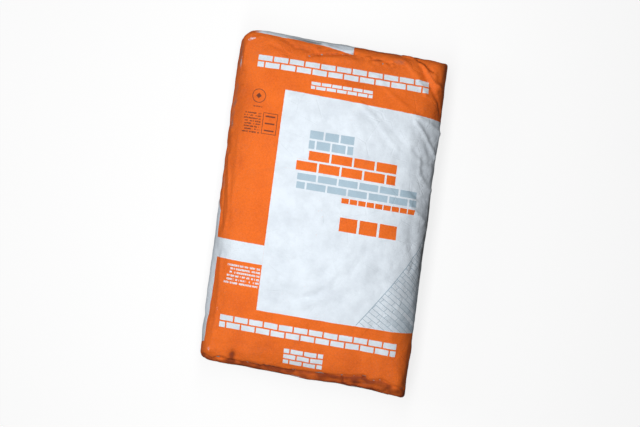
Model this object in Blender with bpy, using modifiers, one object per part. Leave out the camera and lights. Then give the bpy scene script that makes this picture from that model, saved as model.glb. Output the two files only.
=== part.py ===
"""A filled 50 kg cement bag: a pasted paper valve sack lying on its back, with its printed front up.

Units are metres. X runs across the sack, +Y towards its valve end, and +Z up from the surface it lies on.
The origin is under the middle of the sack. Every form starts as a cube that is divided into a lattice.
Each lattice point then goes to its place on the paper: round the tube, or on one of the two block ends.
"""

import math

import bmesh
import bpy
import numpy as np

# The empty sack, laid flat.
TUBE_WIDTH = 0.485
BLOCK_WIDTH = 0.090
PAPER_WALL = 0.0004

# The filled sack.
LENGTH = 0.674
HEIGHT = 0.145
END_HEIGHT = 0.094
END_SKEW = math.radians(2.6)
END_REACH = 0.150
HEIGHT_POWER = 3.2

# A cross-section through the middle: how far the front turns, and where the side's turn starts and ends.
CROWN_TURN = math.radians(8)
CROWN_POWER = 1.6
SIDE_START = 0.130
SIDE_ARC = 0.228

# The folds at a block end: how far the paper turns at each, which sets how far the corner points out.
FOLD_TURN = math.radians(74)
TUCKED_TURN = math.radians(84)
FOLD_SPREAD = 0.016
VALVE_FOLD_RADIUS = 0.017
BOTTOM_FOLD_RADIUS = 0.024
BACK_FOLD_RADIUS = 0.011

# The radius of each corner, seen from above. The valve's corner is tucked in, and so it is the roundest.
SHARP_CORNER = 0.007
WORN_CORNER = 0.018
VALVE_CORNER = 0.026

# The right corner of the bottom end is pulled out, away from the middle of the sack.
PULLED_OUT = 0.005
PULLED_FROM_X = 0.090
PULLED_OVER_X = 0.110

# Moves the sack along Y, so that the origin stays under the middle of its bounding box.
CENTRE_SHIFT = 0.003

# The floor presses the underside flat wherever it would hang less than this above it.
PRESSED_FLAT = 0.0001

# Lattice lines: across half the front, down a side, and inwards from each end.
COLUMNS = (0.0, 0.2, 0.4, 0.6, 0.78, 0.92, 1.0)
ROWS = (0.0, 0.1, 0.3, 0.5, 0.7, 0.9, 1.0)
RING_INSETS = (0.003, 0.016, 0.032, 0.054, 0.084, 0.126, 0.176, 0.232, 0.288)
COVER_MARGIN = 1

# How evenly each block end bulges between its rims: a higher power is flatter, with steeper edges.
BULGE_POWER_X = 8
BULGE_POWER_Z = 4

GAP = 0.0003
FILL_GAP = 0.0006
COVER_PAPER = 0.0003

# The valve: a flattened sleeve that lies behind the end, with its mouth at the rounded corner.
SLEEVE_WIDTH = 0.064
SLEEVE_LENGTH = 0.105
SLEEVE_PAPER = 0.0003
SLEEVE_PASSAGE = 0.0006
SLEEVE_INSET = 0.009
SLEEVE_LEAN = 0.065
SLEEVE_MOUTH_X = -0.190
SLIT_CLEARANCE = 0.0005
SLIT_DEPTH = 0.030
POCKET_CLEARANCE = 0.0010
CUTTER_EXCESS = 0.020

HALF_FOLD = (TUBE_WIDTH - BLOCK_WIDTH) / 2
MIDDLE_Z = END_HEIGHT / 2
ARC = np.linspace(0, TUBE_WIDTH, 2001)

ORANGE_PRINT = (0.83, 0.13, 0.015)
PALE_PAPER = (0.80, 0.81, 0.80)
KRAFT_PAPER = (0.43, 0.29, 0.17)
CEMENT_GREY = (0.36, 0.36, 0.35)


def ease(t):
    """A step from 0 to 1 with level ends, for numbers or arrays."""
    t = np.clip(t, 0, 1)
    return t * t * (3 - 2 * t)


def tangent_angles(endness, fold_turn):
    """The paper's direction along half the tube, from the front's middle round a side to the back's."""
    crown = CROWN_TURN * np.clip(ARC / SIDE_START, 0, 1) ** CROWN_POWER
    side = (math.pi - CROWN_TURN) * ease((ARC - SIDE_START) / SIDE_ARC)
    folded = np.zeros_like(ARC)
    for place, turn in (
        (HALF_FOLD, fold_turn),
        (TUBE_WIDTH / 2, math.pi - 2 * fold_turn),
        (TUBE_WIDTH - HALF_FOLD, fold_turn),
    ):
        folded += turn * ease((ARC - place + FOLD_SPREAD) / (2 * FOLD_SPREAD))
    return (1 - endness) * (crown + side) + endness * folded


def half_section(endness, fold_turn):
    """The x and z of the paper along half the tube, with the back's middle at z = 0."""
    angle = tangent_angles(endness, fold_turn)
    step = ARC[1] - ARC[0]
    across = np.concatenate(([0], np.cumsum(np.cos((angle[1:] + angle[:-1]) / 2)) * step))
    fall = np.concatenate(([0], np.cumsum(np.sin((angle[1:] + angle[:-1]) / 2)) * step))
    return across - across[-1] * ARC / ARC[-1], fall[-1] - fall


def fold_drop(distance, radius):
    """How far a fold of this radius falls away, at this distance from the plane it turns into."""
    short = radius - min(distance, radius)
    return radius - math.sqrt(radius * radius - short * short)


def corner_radius(side, valve_end):
    """The radius of one of the four corners, seen from above."""
    if side > 0:
        return SHARP_CORNER
    return VALVE_CORNER if valve_end else WORN_CORNER


def section_point(arc, side, distance, valve_end):
    """A point of the tube.

    arc is the distance along the paper from the front's middle, side is -1 or 1, distance is how far the
    section lies in from its end's plane, and valve_end tells the two ends apart.
    """
    tucked = valve_end and side < 0
    corner = corner_radius(side, valve_end)
    fold_turn = FOLD_TURN
    if tucked:
        fold_turn += (TUCKED_TURN - FOLD_TURN) * ease(1 - distance / VALVE_CORNER)
    across, height = half_section(ease(1 - distance / END_REACH), fold_turn)
    x = float(np.interp(arc, ARC, across))
    z = float(np.interp(arc, ARC, height)) / height[0]
    along = 1 - distance / (LENGTH / 2)
    full = END_HEIGHT + (HEIGHT - END_HEIGHT) * (1 - along**HEIGHT_POWER)
    back = fold_drop(distance, BACK_FOLD_RADIUS)
    front = fold_drop(distance, VALVE_FOLD_RADIUS if valve_end else BOTTOM_FOLD_RADIUS)
    tuck = 1 - fold_drop(distance, corner) / across.max()
    z = back + z * (full - front - back)
    return side * x * tuck, z if z > PRESSED_FLAT else 0


def paper_arc(u, w):
    """The distance along the paper of a lattice point on the tube, from the front's middle."""
    if ROWS[w] == 1:
        return abs(u) * HALF_FOLD
    if ROWS[w] == 0:
        return TUBE_WIDTH - abs(u) * HALF_FOLD
    return HALF_FOLD + BLOCK_WIDTH * (1 - ROWS[w])


def column_place(i):
    """A column's place across the front, from -1 to 1."""
    k = i - (len(COLUMNS) - 1)
    return math.copysign(COLUMNS[abs(k)], k)


def ring_place(j):
    """A ring's distance from the nearer end's plane, and whether that is the valve's end."""
    last = 2 * len(RING_INSETS)
    if j == len(RING_INSETS):
        return LENGTH / 2, True
    near = min(j, last - j)
    return RING_INSETS[near], j > len(RING_INSETS)


def end_point(u, w, valve_end):
    """A point inside a block end, blended between the four sides of the end's ring."""
    distance = RING_INSETS[0]
    across = (u + 1) / 2
    up = ROWS[w]
    front = len(ROWS) - 1

    def rim(place, row):
        side = -1 if place < 0 else 1
        return np.array(section_point(paper_arc(place, row), side, distance, valve_end))

    level = (1 - across) * rim(-1, w) + across * rim(1, w)
    upright = (1 - up) * rim(u, 0) + up * rim(u, front)
    corners = (1 - across) * ((1 - up) * rim(-1, 0) + up * rim(-1, front))
    corners += across * ((1 - up) * rim(1, 0) + up * rim(1, front))
    x, z = level + upright - corners
    bulge = (1 - u**BULGE_POWER_X) * (1 - (2 * up - 1) ** BULGE_POWER_Z)
    return x, LENGTH / 2 - distance * (1 - bulge), z


def skewed(x, y, z):
    """The same point with the sack's slight lean to one side, and over the origin."""
    return x, y + CENTRE_SHIFT - x * math.tan(END_SKEW), z


def pulled_out(x, distance, valve_end):
    """How far a point near the bottom end's right corner is pulled away from the middle of the sack."""
    if valve_end:
        return 0
    return PULLED_OUT * ease((x - PULLED_FROM_X) / PULLED_OVER_X) * ease(1 - distance / END_REACH)


def lattice_point(i, j, w):
    """The place on the paper of a lattice point, by its column, ring and row."""
    u = column_place(i)
    distance, valve_end = ring_place(j)
    inside_end = j in (0, 2 * len(RING_INSETS)) and 0 < ROWS[w] < 1 and abs(u) < 1
    if inside_end:
        x, y, z = end_point(u, w, valve_end)
    else:
        side = -1 if u < 0 else 1
        x, z = section_point(paper_arc(u, w), side, distance, valve_end)
        y = LENGTH / 2 - distance
    y += pulled_out(x, distance, valve_end)
    return skewed(x, y if valve_end else -y, z)


def shaped_lattice():
    """A bmesh of the whole paper surface: a divided cube, with each point moved to its place.

    Its faces are made triangles here, so that every layer made from it bends along the same lines.
    """
    counts = (2 * (len(COLUMNS) - 1), 2 * len(RING_INSETS), len(ROWS) - 1)
    bm = bmesh.new()
    bmesh.ops.create_cube(bm, size=2)
    for axis, count in enumerate(counts):
        along = [e for e in bm.edges if abs((e.verts[1].co - e.verts[0].co)[axis]) > 1]
        bmesh.ops.subdivide_edges(bm, edges=along, cuts=count - 1, use_grid_fill=True)
    index = bm.verts.layers.int.new("index")
    for vert in bm.verts:
        i, j, w = (round((vert.co[a] + 1) / 2 * counts[a]) for a in range(3))
        vert[index] = (i * (counts[1] + 1) + j) * (counts[2] + 1) + w
    for vert in bm.verts:
        rest, w = divmod(vert[index], counts[2] + 1)
        i, j = divmod(rest, counts[1] + 1)
        vert.co = lattice_point(i, j, w)
    bmesh.ops.triangulate(bm, faces=bm.faces[:])
    bm.normal_update()
    return bm


def plain_material(name, colour, roughness):
    """A Principled material of one colour."""
    material = bpy.data.materials.new(name)
    material.use_nodes = True
    shader = material.node_tree.nodes["Principled BSDF"]
    shader.inputs["Base Color"].default_value = (*colour, 1)
    shader.inputs["Roughness"].default_value = roughness
    shader.inputs["Metallic"].default_value = 0
    return material


def add_object(name, bm, collection, material=None):
    """The bmesh as a named object in a collection."""
    mesh = bpy.data.meshes.new(name)
    bm.to_mesh(mesh)
    bm.free()
    obj = bpy.data.objects.new(name, mesh)
    collection.objects.link(obj)
    if material:
        mesh.materials.append(material)
        mesh.shade_smooth()
    return obj


def add_wall(obj, thickness):
    """Gives an open or closed surface its paper's thickness, inwards."""
    wall = obj.modifiers.new("paper wall", "SOLIDIFY")
    wall.thickness = thickness
    wall.offset = -1
    wall.use_even_offset = True


def cut_with(obj, cutter):
    """Cuts one object from another."""
    cut = obj.modifiers.new("cut " + cutter.name, "BOOLEAN")
    cut.operation = "DIFFERENCE"
    cut.object = cutter


def box_mesh(low, high):
    """A bmesh of a box between two corners, leaning as the valve's sleeve does."""
    bm = bmesh.new()
    bmesh.ops.create_cube(bm, size=1)
    for vert in bm.verts:
        x, y, z = (low[a] + (vert.co[a] + 0.5) * (high[a] - low[a]) for a in range(3))
        vert.co = skewed(x, y + (x - SLEEVE_MOUTH_X) * SLEEVE_LEAN, z)
    return bm


def add_cutter(name, low, high, cutters):
    """A hidden box that cuts other objects."""
    cutter = add_object(name, box_mesh(low, high), cutters)
    cutter.hide_render = True
    cutter.display_type = "WIRE"
    return cutter


def sleeve_box(margin):
    """The corners of the space that the flattened sleeve takes, widened by a margin."""
    thick = 2 * SLEEVE_PAPER + SLEEVE_PASSAGE
    back = LENGTH / 2 - SLEEVE_INSET - thick
    bottom = MIDDLE_Z - SLEEVE_WIDTH / 2
    low = (SLEEVE_MOUTH_X - margin, back - margin, bottom - margin)
    high = (
        SLEEVE_MOUTH_X + SLEEVE_LENGTH + margin,
        back + thick + margin,
        bottom + SLEEVE_WIDTH + margin,
    )
    return low, high


def make_sack(parts, cutters):
    """The paper sack: a thin wall all round, open only at the valve's slit."""
    material = plain_material("orange_printed_paper", ORANGE_PRINT, 0.55)
    sack = add_object("paper_sack", shaped_lattice(), parts, material)
    add_wall(sack, PAPER_WALL)
    low, high = sleeve_box(SLIT_CLEARANCE)
    low = (low[0] - CUTTER_EXCESS, low[1], low[2])
    high = (SLEEVE_MOUTH_X + SLIT_DEPTH, high[1], high[2])
    cut_with(sack, add_cutter("valve_slit_cutter", low, high, cutters))


def make_fill(parts, cutters):
    """The cement: the sack's inside, less a gap, with a pocket where the sleeve lies against it."""
    bm = shaped_lattice()
    inward = [(vert.normal.copy(), vert.calc_shell_factor()) for vert in bm.verts]
    for vert, (normal, factor) in zip(bm.verts, inward):
        vert.co -= normal * factor * (PAPER_WALL + FILL_GAP)
    material = plain_material("grey_cement", CEMENT_GREY, 0.95)
    fill = add_object("cement_fill", bm, parts, material)
    low, high = sleeve_box(POCKET_CLEARANCE)
    low = (low[0] - CUTTER_EXCESS, low[1], low[2])
    high = (high[0], high[1] + CUTTER_EXCESS, high[2])
    cut_with(fill, add_cutter("valve_pocket_cutter", low, high, cutters))


def make_sleeve(parts, cutters):
    """The valve's sleeve: a flattened paper tube, open at both ends."""
    material = plain_material("brown_kraft_paper", KRAFT_PAPER, 0.7)
    sleeve = add_object("valve_sleeve", box_mesh(*sleeve_box(0)), parts, material)
    low, high = sleeve_box(-SLEEVE_PAPER)
    low = (low[0] - CUTTER_EXCESS, low[1], low[2])
    high = (high[0] + CUTTER_EXCESS, high[1], high[2])
    cut_with(sleeve, add_cutter("valve_passage_cutter", low, high, cutters))


def make_cover(name, valve_end, parts):
    """The sheet pasted over a block end, on the same lattice as the end itself."""
    bm = shaped_lattice()
    index = bm.verts.layers.int["index"]
    rings, rows = 2 * len(RING_INSETS) + 1, len(ROWS)
    columns = 2 * (len(COLUMNS) - 1)
    ring = rings - 1 if valve_end else 0

    def on_cover(vert):
        rest, w = divmod(vert[index], rows)
        i, j = divmod(rest, rings)
        across = COVER_MARGIN <= i <= columns - COVER_MARGIN
        return j == ring and across and COVER_MARGIN <= w < rows - COVER_MARGIN

    kept = {vert for vert in bm.verts if on_cover(vert)}
    bmesh.ops.delete(bm, geom=[v for v in bm.verts if v not in kept], context="VERTS")
    bm.normal_update()
    outward = [(vert.normal.copy(), vert.calc_shell_factor()) for vert in bm.verts]
    for vert, (normal, factor) in zip(bm.verts, outward):
        vert.co += normal * factor * (GAP + COVER_PAPER)
    material = plain_material(name + "_paper", PALE_PAPER, 0.6)
    add_wall(add_object(name, bm, parts, material), COVER_PAPER)


def clear_scene():
    """Removes what the scene holds, and the meshes left over."""
    for obj in list(bpy.data.objects):
        bpy.data.objects.remove(obj, do_unlink=True)
    for mesh in list(bpy.data.meshes):
        bpy.data.meshes.remove(mesh)


def main():
    """Builds the filled sack."""
    clear_scene()
    parts = bpy.data.collections.new("cement_bag")
    cutters = bpy.data.collections.new("cutters")
    for collection in (parts, cutters):
        bpy.context.scene.collection.children.link(collection)
    make_sack(parts, cutters)
    make_fill(parts, cutters)
    make_sleeve(parts, cutters)
    make_cover("top_cover", True, parts)
    make_cover("bottom_cover", False, parts)


if __name__ == "__main__":
    main()
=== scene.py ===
"""The looks of a filled 50 kg cement bag: a pasted paper valve sack that lies on its back.

Units are metres unless a name says millimetres. X runs across the sack, +Y towards its valve end, and +Z up.
Places on the paper are given on the flat tube: across is the distance round it from the front's middle line,
positive on the right, and along is the distance from the middle towards the valve end.
"""

import logging
import math
from abc import ABC, abstractmethod
from dataclasses import dataclass
from enum import Enum

import bpy
import numpy as np
from mathutils import Matrix, Vector, noise


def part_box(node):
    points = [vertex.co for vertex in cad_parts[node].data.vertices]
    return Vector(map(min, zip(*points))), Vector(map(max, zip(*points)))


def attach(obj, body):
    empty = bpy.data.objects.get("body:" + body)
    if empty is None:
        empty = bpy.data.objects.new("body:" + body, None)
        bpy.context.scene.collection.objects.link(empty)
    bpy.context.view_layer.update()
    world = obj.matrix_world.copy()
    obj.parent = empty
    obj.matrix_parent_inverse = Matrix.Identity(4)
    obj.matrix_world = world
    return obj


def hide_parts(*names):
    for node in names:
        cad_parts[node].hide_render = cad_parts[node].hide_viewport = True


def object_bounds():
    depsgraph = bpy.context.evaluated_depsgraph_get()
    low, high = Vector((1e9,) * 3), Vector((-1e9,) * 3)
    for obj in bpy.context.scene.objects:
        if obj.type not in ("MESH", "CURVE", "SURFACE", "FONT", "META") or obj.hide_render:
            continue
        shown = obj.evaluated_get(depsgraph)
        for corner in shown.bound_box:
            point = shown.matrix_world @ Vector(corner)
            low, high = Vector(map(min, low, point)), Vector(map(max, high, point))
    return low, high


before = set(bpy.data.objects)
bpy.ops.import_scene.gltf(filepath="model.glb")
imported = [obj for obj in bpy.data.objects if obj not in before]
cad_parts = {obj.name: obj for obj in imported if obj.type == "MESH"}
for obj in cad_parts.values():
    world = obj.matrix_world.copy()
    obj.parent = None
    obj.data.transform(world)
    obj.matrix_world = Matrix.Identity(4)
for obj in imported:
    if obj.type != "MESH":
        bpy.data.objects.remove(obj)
CAD_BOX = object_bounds()

LOG = logging.getLogger("cement_bag")
TUBE_ROUND = 970.0
Array = np.ndarray
Colour = tuple[float, float, float]


def ease(t: float | Array) -> Array:
    """A step from 0 to 1 with level ends."""
    t = np.clip(t, 0, 1)
    return t * t * (3 - 2 * t)


class End(Enum):
    """The two block ends of the sack, by the way that each faces along Y."""

    BOTTOM = -1
    VALVE = 1


@dataclass(frozen=True)
class SackForm:
    """The smooth form of the filled sack, worked out from the flat paper as in the part's source."""

    tube_width: float = 0.485
    block_width: float = 0.090
    length: float = 0.674
    height: float = 0.145
    end_height: float = 0.094
    end_skew: float = math.radians(2.6)
    end_reach: float = 0.150
    height_power: float = 3.2
    crown_turn: float = math.radians(8)
    crown_power: float = 1.6
    side_start: float = 0.130
    side_arc: float = 0.228
    fold_turn: float = math.radians(74)
    tucked_turn: float = math.radians(84)
    fold_spread: float = 0.016
    valve_fold_radius: float = 0.017
    bottom_fold_radius: float = 0.024
    back_fold_radius: float = 0.011
    rim_inset: float = 0.003
    bulge_power_x: int = 8
    bulge_power_z: int = 4
    sharp_corner: float = 0.007
    worn_corner: float = 0.018
    valve_corner: float = 0.026
    pulled_out: float = 0.005
    pulled_from_x: float = 0.090
    pulled_over_x: float = 0.110
    centre_shift: float = 0.003
    samples: int = 2001

    @property
    def half_fold(self) -> float:
        """Half the width of the front between the folds of its block ends."""
        return (self.tube_width - self.block_width) / 2

    def turns(self, endness: float, fold_turn: float) -> tuple[Array, Array]:
        """The paper's direction along half the tube, from the front's middle round to the back's.

        Args:
            endness: 0 in the round middle of the sack, and 1 at a folded end.
            fold_turn: the angle that the paper turns at each fold of the block end.

        Returns:
            The distances along the paper, and the angle at each.
        """
        arc = np.linspace(0, self.tube_width, self.samples)
        crown = self.crown_turn * np.clip(arc / self.side_start, 0, 1) ** self.crown_power
        side = (math.pi - self.crown_turn) * ease((arc - self.side_start) / self.side_arc)
        folded = np.zeros_like(arc)
        for place, turn in (
            (self.half_fold, fold_turn),
            (self.tube_width / 2, math.pi - 2 * fold_turn),
            (self.tube_width - self.half_fold, fold_turn),
        ):
            folded += turn * ease((arc - place + self.fold_spread) / (2 * self.fold_spread))
        return arc, (1 - endness) * (crown + side) + endness * folded

    def half_section(self, endness: float, fold_turn: float) -> tuple[Array, Array, Array]:
        """The distances along the paper, and its x and z there, with the back's middle at z = 0."""
        arc, angle = self.turns(endness, fold_turn)
        step = arc[1] - arc[0]
        middle = (angle[1:] + angle[:-1]) / 2
        across = np.concatenate(([0], np.cumsum(np.cos(middle)) * step))
        fall = np.concatenate(([0], np.cumsum(np.sin(middle)) * step))
        return arc, across - across[-1] * arc / arc[-1], fall[-1] - fall

    @staticmethod
    def fold_drop(distance: float, radius: float) -> float:
        """How far a fold of this radius falls away, at this distance from the plane it turns into."""
        short = radius - min(distance, radius)
        return radius - math.sqrt(radius * radius - short * short)

    def corner_radius(self, side: int, end: End) -> float:
        """The radius of one of the four corners, seen from above."""
        if side > 0:
            return self.sharp_corner
        return self.valve_corner if end is End.VALVE else self.worn_corner

    def front_fold_radius(self, end: End) -> float:
        """The radius of the fold between the front and a block end."""
        return self.valve_fold_radius if end is End.VALVE else self.bottom_fold_radius

    def section_points(self, arcs: Array, side: int, distance: float, end: End) -> tuple[Array, Array]:
        """The x and z of points of one cross-section.

        Args:
            arcs: distances along the paper from the front's middle line.
            side: -1 for the left half, 1 for the right.
            distance: how far the section lies in from its end's plane.
            end: the nearer end.

        Returns:
            The x and the z of each point.
        """
        fold_turn = self.fold_turn
        if end is End.VALVE and side < 0:
            fold_turn += (self.tucked_turn - fold_turn) * ease(1 - distance / self.valve_corner)
        arc, across, height = self.half_section(ease(1 - distance / self.end_reach), fold_turn)
        x = np.interp(arcs, arc, across)
        z = np.interp(arcs, arc, height) / height[0]
        along = 1 - distance / (self.length / 2)
        full = self.end_height + (self.height - self.end_height) * (1 - along**self.height_power)
        back = self.fold_drop(distance, self.back_fold_radius)
        front = self.fold_drop(distance, self.front_fold_radius(end))
        tuck = 1 - self.fold_drop(distance, self.corner_radius(side, end)) / across.max()
        return side * x * tuck, back + z * (full - front - back)

    def settled(self, x: Array, y: Array, distance: Array, end: End) -> Array:
        """The y of points after the pulled-out corner and the sack's slight lean to one side."""
        if end is End.BOTTOM:
            near_corner = ease((x - self.pulled_from_x) / self.pulled_over_x)
            y = y + self.pulled_out * near_corner * ease(1 - distance / self.end_reach)
        return y * end.value + self.centre_shift - x * math.tan(self.end_skew)


@dataclass(frozen=True)
class PaperLattice:
    """A cube divided into a lattice, and the place on the paper of each of its points.

    The divisions are given as the stages in which each direction is subdivided.
    """

    form: SackForm
    across_stages: tuple[int, ...] = (4, 17)
    along_stages: tuple[int, ...] = (10, 12)
    deep_stages: tuple[int, ...] = (20,)
    ring_power: float = 1.15

    @property
    def counts(self) -> tuple[int, int, int]:
        """The number of divisions along x, y and z."""
        return tuple(math.prod(s) for s in (self.across_stages, self.along_stages, self.deep_stages))

    def divided_cube(self, name: str) -> bpy.types.Object:
        """A cube of size 2, subdivided along each axis."""
        bpy.ops.object.select_all(action="DESELECT")
        bpy.ops.mesh.primitive_cube_add(size=2)
        cube = bpy.context.object
        cube.name = cube.data.name = name
        bpy.ops.object.mode_set(mode="EDIT")
        bpy.ops.mesh.select_mode(type="EDGE")
        for axis, stages in enumerate((self.across_stages, self.along_stages, self.deep_stages)):
            for stage in stages:
                self.select_edges_along(cube, axis)
                bpy.ops.mesh.subdivide(number_cuts=stage - 1)
        bpy.ops.object.mode_set(mode="OBJECT")
        return cube

    @staticmethod
    def select_edges_along(cube: bpy.types.Object, axis: int) -> None:
        """Selects the edges of the cube that run along one axis."""
        bpy.ops.mesh.select_all(action="DESELECT")
        bpy.ops.object.mode_set(mode="OBJECT")
        mesh = cube.data
        for edge in mesh.edges:
            first, second = (mesh.vertices[v].co for v in edge.vertices)
            run = second - first
            edge.select = abs(run[axis]) > 0.9 * run.length
        bpy.ops.object.mode_set(mode="EDIT")

    def ring_distances(self) -> Array:
        """How far each ring lies in from the nearer end's plane."""
        half = self.counts[1] // 2
        ring = np.arange(self.counts[1] + 1)
        near = np.minimum(ring, self.counts[1] - ring) / half
        inset = self.form.rim_inset
        return inset + (self.form.length / 2 - inset) * near**self.ring_power

    def arcs(self, i: Array, w: Array) -> Array:
        """The distance along the paper from the front's middle, for points round a ring."""
        nx, _, nz = self.counts
        u = np.abs(2 * i / nx - 1)
        side_arc = self.form.half_fold + self.form.block_width * (1 - w / nz)
        arc = np.where(w == nz, u * self.form.half_fold, side_arc)
        return np.where(w == 0, self.form.tube_width - u * self.form.half_fold, arc)

    def ring_points(self, j: int, i: Array, w: Array) -> Array:
        """The places of the given points of one ring, before the sack's lean."""
        nx, ny, _ = self.counts
        end = End.VALVE if j >= ny / 2 else End.BOTTOM
        distance = float(self.ring_distances()[j])
        arcs = self.arcs(i, w)
        x, z = np.zeros(len(i)), np.zeros(len(i))
        for side, chosen in ((-1, i < nx / 2), (1, i >= nx / 2)):
            x[chosen], z[chosen] = self.form.section_points(arcs[chosen], side, distance, end)
        y = np.full(len(i), self.form.length / 2 - distance)
        return np.stack((x, y, z), axis=1)

    def end_points(self, j: int, i: Array, w: Array) -> Array:
        """Points inside a block end, blended between the four sides of the end's ring."""
        nx, _, nz = self.counts
        full = np.full_like

        def rim(columns: Array, rows: Array) -> Array:
            return self.ring_points(j, columns, rows)

        across, up = (i / nx)[:, None], (w / nz)[:, None]
        level = (1 - across) * rim(full(i, 0), w) + across * rim(full(i, nx), w)
        upright = (1 - up) * rim(i, full(w, 0)) + up * rim(i, full(w, nz))
        left = (1 - up) * rim(full(i, 0), full(w, 0)) + up * rim(full(i, 0), full(w, nz))
        right = (1 - up) * rim(full(i, nx), full(w, 0)) + up * rim(full(i, nx), full(w, nz))
        points = level + upright - (1 - across) * left - across * right
        bulge = 1 - (2 * across - 1) ** self.form.bulge_power_x
        bulge = bulge * (1 - (2 * up - 1) ** self.form.bulge_power_z)
        points[:, 1] += self.form.rim_inset * bulge[:, 0]
        return points

    def index(self, cube: Array) -> Array:
        """The column, ring and row of each point of the divided cube."""
        return np.rint((cube + 1) / 2 * np.array(self.counts)).astype(int)

    def places(self, cube: Array) -> Array:
        """The place on the filled sack of each point of the divided cube."""
        counts = self.counts
        i, j, w = self.index(cube).T
        inner = (i > 0) & (i < counts[0]) & (w > 0) & (w < counts[2])
        distances = self.ring_distances()
        points = np.zeros_like(cube)
        for ring in range(counts[1] + 1):
            end = End.VALVE if ring >= counts[1] / 2 else End.BOTTOM
            for inside, place in ((False, self.ring_points), (True, self.end_points)):
                chosen = (j == ring) & (inner == inside)
                if chosen.any():
                    ring_points = place(ring, i[chosen], w[chosen])
                    x, y, z = ring_points.T
                    y = self.form.settled(x, y, np.full_like(x, distances[ring]), end)
                    points[chosen] = np.stack((x, y, z), axis=1)
        return points

    def ring_places(self, cube: Array, points: Array) -> Array:
        """How far along the paper each ring lies from the middle one, measured down the front's middle."""
        i, j, w = self.index(cube).T
        nx, ny, nz = self.counts
        middle = (i == nx // 2) & (w == nz)
        line = points[middle][np.argsort(j[middle])]
        steps = np.linalg.norm(np.diff(line, axis=0), axis=1)
        along = np.concatenate(([0], np.cumsum(steps)))
        return along - along[ny // 2]

    def flat_places(self, cube: Array, rings: Array, corners: Array) -> Array:
        """The place on the flat paper of each corner of each face.

        Args:
            cube: the points of the divided cube.
            rings: how far along the paper each ring lies.
            corners: the four points of each face.

        Returns:
            For each face and corner, the distance across and along the paper.
        """
        nx, ny, nz = self.counts
        i, j, w = self.index(cube).T
        centre = cube[corners].mean(axis=1)
        side = np.where(centre[:, 0] < 0, -1, 1)[:, None]
        across = side * self.arcs(i, w)[corners]
        along = rings[j][corners]
        on_end = np.abs(centre[:, 1]) > 0.999
        across[on_end] = (2 * i[corners[on_end]] / nx - 1) * self.form.half_fold
        depth = (1 - w[corners[on_end]] / nz) * self.form.block_width
        along[on_end] += np.sign(centre[on_end, 1])[:, None] * depth
        return np.stack((across, along), axis=2)

    def box_places(self, cube: Array, rings: Array) -> Array:
        """The place of each point on the square-edged block that the same paper folds to."""
        nx, _, nz = self.counts
        i, j, w = self.index(cube).T
        return np.stack(
            (
                (2 * i / nx - 1) * self.form.half_fold,
                rings[j],
                w / nz * self.form.block_width,
            ),
            axis=1,
        )


@dataclass(frozen=True)
class PhotoCamera:
    """The photograph's view: nearly straight down on the sack, turned a little in the picture."""

    picture: tuple[int, int] = (640, 427)
    centre_pixel: tuple[float, float] = (323.3, 212.8)
    metres_per_pixel: float = 0.002018
    roll: float = math.radians(7.5)
    lean_left: float = 0.0
    lean_to_bottom: float = 0.0
    lens: float = 53.0
    sensor: float = 36.0

    def build(self, centre: Vector) -> bpy.types.Object:
        """Adds the camera and makes it the scene's.

        Args:
            centre: the middle of the sack.

        Returns:
            The camera.
        """
        back = Vector((-math.tan(self.lean_left), -math.tan(self.lean_to_bottom), 1)).normalized()
        level_up = Vector((0, 1, 0)) - back * back.y
        level_up.normalize()
        level_right = level_up.cross(back)
        right = math.cos(self.roll) * level_right + math.sin(self.roll) * level_up
        up = back.cross(right)
        width, height = self.picture
        distance = width * self.metres_per_pixel * self.lens / self.sensor
        aside = (self.centre_pixel[0] - width / 2) * self.metres_per_pixel
        above = (height / 2 - self.centre_pixel[1]) * self.metres_per_pixel
        data = bpy.data.cameras.new("photo_camera")
        data.lens, data.sensor_width = self.lens, self.sensor
        camera = bpy.data.objects.new("photo_camera", data)
        bpy.context.scene.collection.objects.link(camera)
        camera.matrix_world = Matrix((right, up, back)).transposed().to_4x4()
        camera.location = centre + back * distance - right * aside - up * above
        bpy.context.scene.camera = camera
        return camera


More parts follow.
